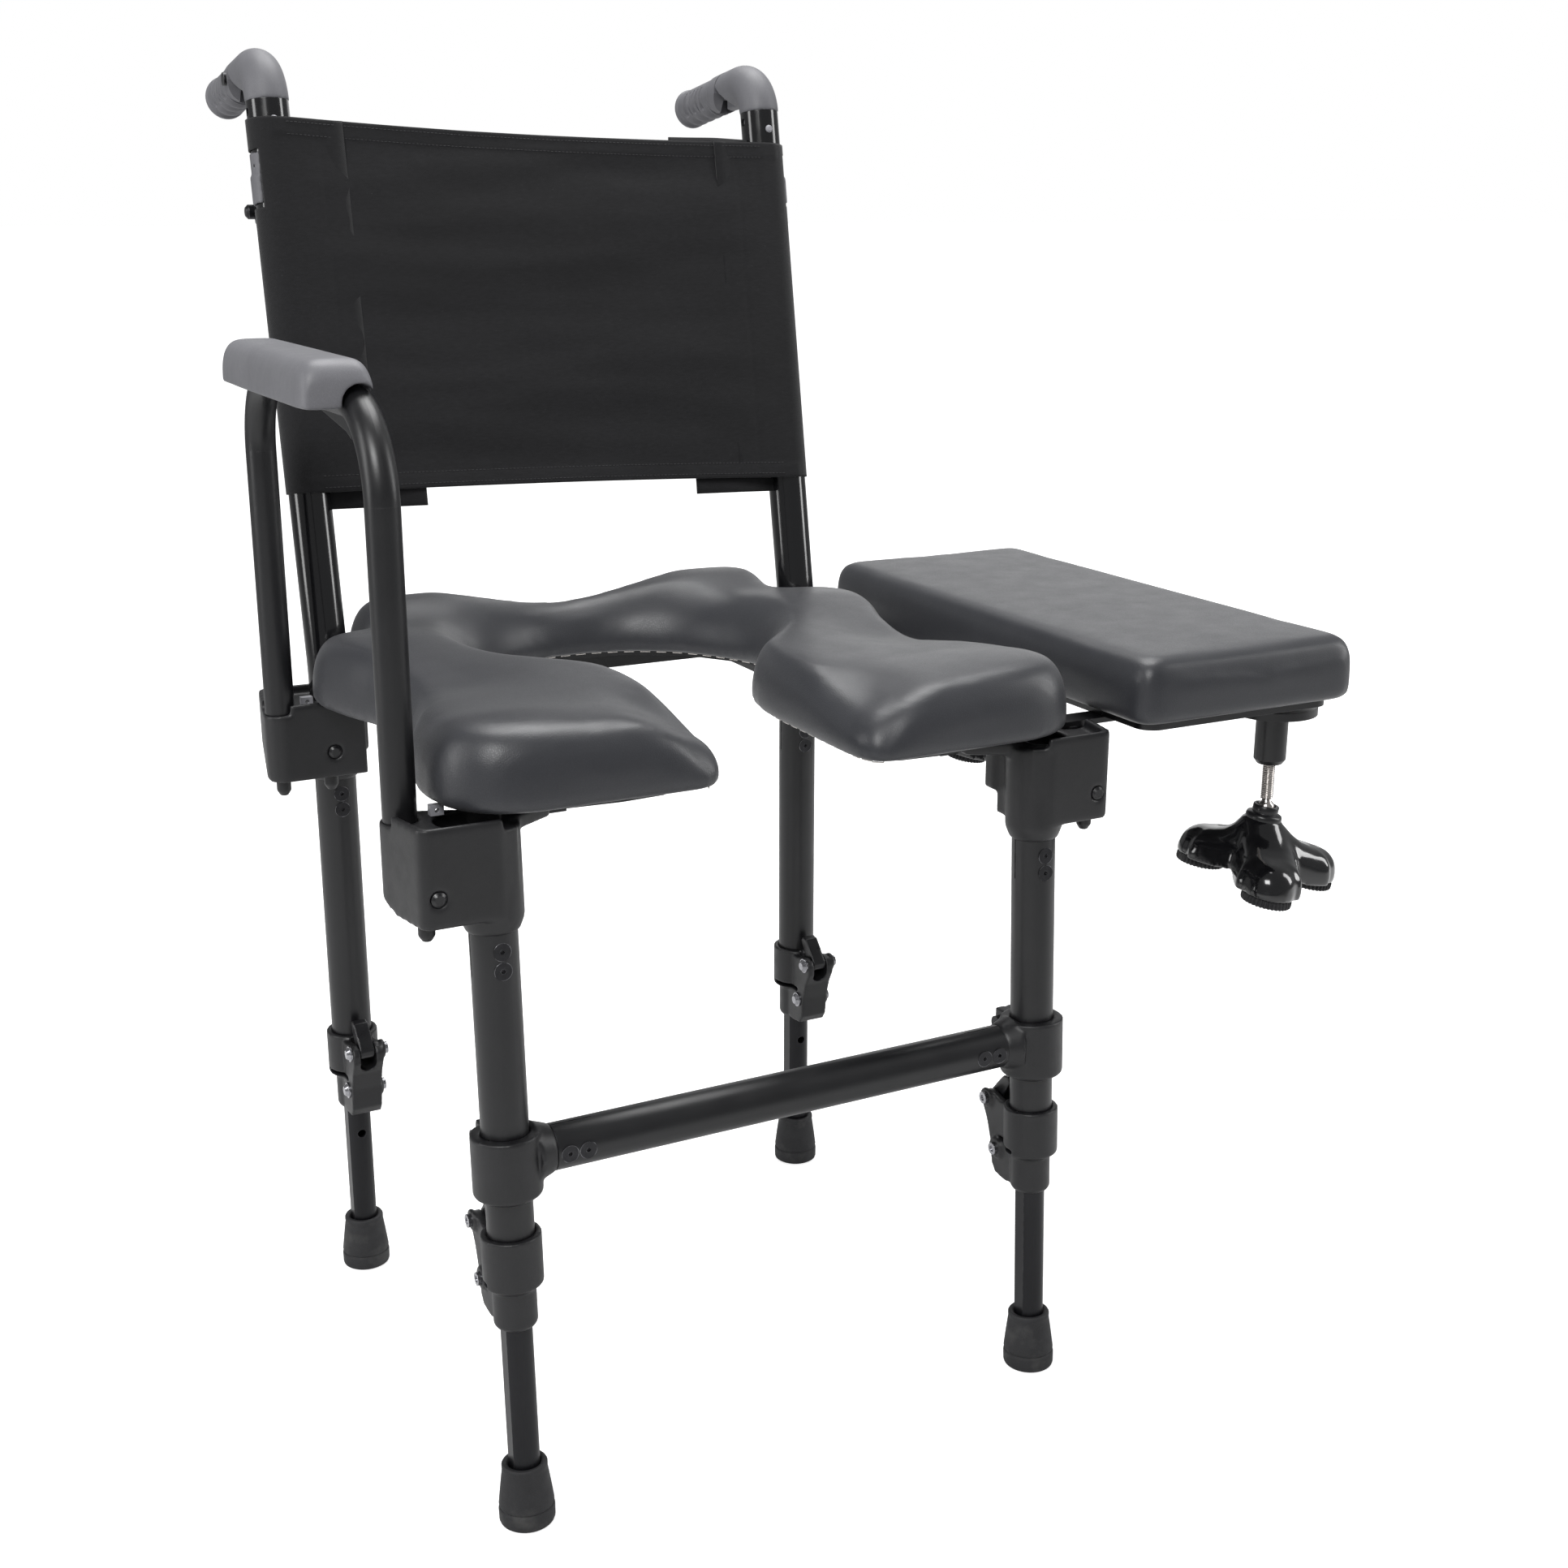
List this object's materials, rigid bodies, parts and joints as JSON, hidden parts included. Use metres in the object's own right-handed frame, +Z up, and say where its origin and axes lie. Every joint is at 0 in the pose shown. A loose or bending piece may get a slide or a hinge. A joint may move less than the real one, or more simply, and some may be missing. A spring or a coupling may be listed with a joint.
{
  "type": "bath commode chair",
  "caption": "Height-adjustable bath and commode chair with a horseshoe cushion, fabric backrest on folding-grip tubes, one lift-out armrest and a padded side transfer board.",
  "frame": {"origin": "on the floor, under the middle of the four leg axes", "axes": "+X across the seat towards the side transfer board, -Y towards the open front of the seat, +Z up"},
  "size_m": [0.7982, 0.6338, 0.9864],
  "materials": {
    "frame_paint": "satin black powder coat",
    "cast_black": "matt black moulded fittings",
    "screw_steel": "blackened steel",
    "bolt_steel": "polished bolt ends",
    "anodised": "black anodised",
    "rubber": "matt rubber",
    "lever_plastic": "semi-gloss black",
    "grip_grey": "matt mid grey moulding",
    "seat_vinyl": "matt grey coated upholstery",
    "sling_fabric": "black woven polyester",
    "clip_grey": "light grey plastic",
    "stainless": "bright stainless thread",
    "foot_gloss": "glossy black"
  },
  "bodies": {
    "frame": {"bracket_front_left": "cast_black", "bracket_front_right": "cast_black", "bracket_rear_left": "cast_black", "bracket_rear_right": "cast_black", "seat_rails": "frame_paint", "upper_leg_front_left": "frame_paint", "upper_leg_front_right": "frame_paint", "upper_leg_rear_left": "frame_paint", "upper_leg_rear_right": "frame_paint", "tee_clamp_left": "cast_black", "tee_clamp_right": "cast_black", "crossbar": "frame_paint", "countersunk_screws": "screw_steel", "tee_pinch_bolts": "screw_steel", "height_clamp_front_left": "cast_black", "height_clamp_front_right": "cast_black", "height_clamp_rear_left": "cast_black", "height_clamp_rear_right": "cast_black", "clamp_bolts": "bolt_steel", "latch_tabs": "cast_black", "seat_clips": "clip_grey"},
    "lever_fl": {"clamp_lever_front_left": "lever_plastic"},
    "leg_fl": {"lower_leg_front_left": "anodised", "foot_tip_front_left": "rubber"},
    "button_fl": {"release_button_front_left": "lever_plastic"},
    "lever_fr": {"clamp_lever_front_right": "lever_plastic"},
    "leg_fr": {"lower_leg_front_right": "anodised", "foot_tip_front_right": "rubber"},
    "button_fr": {"release_button_front_right": "lever_plastic"},
    "lever_rl": {"clamp_lever_rear_left": "lever_plastic"},
    "leg_rl": {"lower_leg_rear_left": "anodised", "foot_tip_rear_left": "rubber"},
    "button_rl": {"release_button_rear_left": "lever_plastic"},
    "lever_rr": {"clamp_lever_rear_right": "lever_plastic"},
    "leg_rr": {"lower_leg_rear_right": "anodised", "foot_tip_rear_right": "rubber"},
    "button_rr": {"release_button_rear_right": "lever_plastic"},
    "seat": {"seat_board": "lever_plastic", "seat_cushion": "seat_vinyl"},
    "armrest": {"arm_tube": "frame_paint", "arm_pad": "grip_grey"},
    "side_board": {"transfer_board_base": "lever_plastic", "transfer_pad": "seat_vinyl", "board_hanger": "frame_paint", "leg_sleeves": "lever_plastic"},
    "backrest": {"back_tube_left": "frame_paint", "back_tube_right": "frame_paint", "back_brace": "grip_grey", "back_sling": "sling_fabric", "handle_elbow_left": "grip_grey", "handle_elbow_right": "grip_grey", "back_bolts": "screw_steel"},
    "rod_front": {"leveling_rod_front": "stainless"},
    "foot_front": {"tripod_foot_front": "foot_gloss"},
    "rod_rear": {"leveling_rod_rear": "stainless"},
    "foot_rear": {"tripod_foot_rear": "foot_gloss"},
    "grip_left": {"handle_grip_left": "grip_grey"},
    "snap_left": {"snap_button_left": "clip_grey"},
    "grip_right": {"handle_grip_right": "grip_grey"},
    "snap_right": {"snap_button_right": "clip_grey"}
  },
  "joints": [
    {"name": "lever_fl_open", "type": "hinge", "parent": "frame", "child": "lever_fl", "pos_m": [-0.209, -0.15571, 0.20879], "axis": [-1, 0, 0], "range_deg": [0, 100]},
    {"name": "leg_fl_height", "type": "slide", "parent": "frame", "child": "leg_fl", "axis": [0, 0.0489, 0.9988], "range_m": [-0.05, 0.09]},
    {"name": "button_fl_press", "type": "slide", "parent": "frame", "child": "button_fl", "axis": [0, 1, 0], "range_m": [0, 0.0035], "stiffness_N_per_m": 300},
    {"name": "lever_fr_open", "type": "hinge", "parent": "frame", "child": "lever_fr", "pos_m": [0.209, -0.15571, 0.20879], "axis": [-1, 0, 0], "range_deg": [0, 100]},
    {"name": "leg_fr_height", "type": "slide", "parent": "frame", "child": "leg_fr", "axis": [0, 0.0489, 0.9988], "range_m": [-0.05, 0.09]},
    {"name": "button_fr_press", "type": "slide", "parent": "frame", "child": "button_fr", "axis": [0, 1, 0], "range_m": [0, 0.0035], "stiffness_N_per_m": 300},
    {"name": "lever_rl_open", "type": "hinge", "parent": "frame", "child": "lever_rl", "pos_m": [-0.209, 0.145, 0.211], "axis": [1, 0, 0], "range_deg": [0, 100]},
    {"name": "leg_rl_height", "type": "slide", "parent": "frame", "child": "leg_rl", "axis": [0, 0, 1], "range_m": [-0.05, 0.09]},
    {"name": "button_rl_press", "type": "slide", "parent": "frame", "child": "button_rl", "axis": [0, 1, 0], "range_m": [0, 0.0035], "stiffness_N_per_m": 300},
    {"name": "lever_rr_open", "type": "hinge", "parent": "frame", "child": "lever_rr", "pos_m": [0.209, 0.145, 0.211], "axis": [1, 0, 0], "range_deg": [0, 100]},
    {"name": "leg_rr_height", "type": "slide", "parent": "frame", "child": "leg_rr", "axis": [0, 0, 1], "range_m": [-0.05, 0.09]},
    {"name": "button_rr_press", "type": "slide", "parent": "frame", "child": "button_rr", "axis": [0, 1, 0], "range_m": [0, 0.0035], "stiffness_N_per_m": 300},
    {"name": "seat_lift", "type": "slide", "parent": "frame", "child": "seat", "axis": [0, 0, 1], "range_m": [0, 0.08]},
    {"name": "armrest_lift", "type": "slide", "parent": "frame", "child": "armrest", "axis": [0, 0, 1], "range_m": [0, 0.12]},
    {"name": "side_board_lift", "type": "slide", "parent": "frame", "child": "side_board", "axis": [0, 0, 1], "range_m": [0, 0.12]},
    {"name": "backrest_lift", "type": "slide", "parent": "frame", "child": "backrest", "axis": [0, 0, 1], "range_m": [0, 0.12]},
    {"name": "rod_front_screw", "type": "slide", "parent": "side_board", "child": "rod_front", "axis": [0, 0, 1], "range_m": [-0.012, 0.018]},
    {"name": "foot_front_tilt", "type": "hinge", "parent": "rod_front", "child": "foot_front", "pos_m": [0.438, -0.176, 0.415], "axis": [0.4645, 0.8856, 0], "range_deg": [-25, 5]},
    {"name": "rod_rear_screw", "type": "slide", "parent": "side_board", "child": "rod_rear", "axis": [0, 0, 1], "range_m": [-0.012, 0.018]},
    {"name": "foot_rear_tilt", "type": "hinge", "parent": "rod_rear", "child": "foot_rear", "pos_m": [0.438, 0.176, 0.415], "axis": [0.4645, 0.8856, 0], "range_deg": [-25, 5]},
    {"name": "grip_left_fold", "type": "hinge", "parent": "backrest", "child": "grip_left", "pos_m": [-0.209, 0.31994, 0.96524], "axis": [-1, 0, 0], "range_deg": [0, 53]},
    {"name": "snap_left_press", "type": "slide", "parent": "backrest", "child": "snap_left", "axis": [0, 0.9854, -0.1702], "range_m": [0, 0.002], "stiffness_N_per_m": 100},
    {"name": "grip_right_fold", "type": "hinge", "parent": "backrest", "child": "grip_right", "pos_m": [0.209, 0.31994, 0.96524], "axis": [-1, 0, 0], "range_deg": [0, 53]},
    {"name": "snap_right_press", "type": "slide", "parent": "backrest", "child": "snap_right", "axis": [0, 0.9854, -0.1702], "range_m": [0, 0.002], "stiffness_N_per_m": 100}
  ]
}
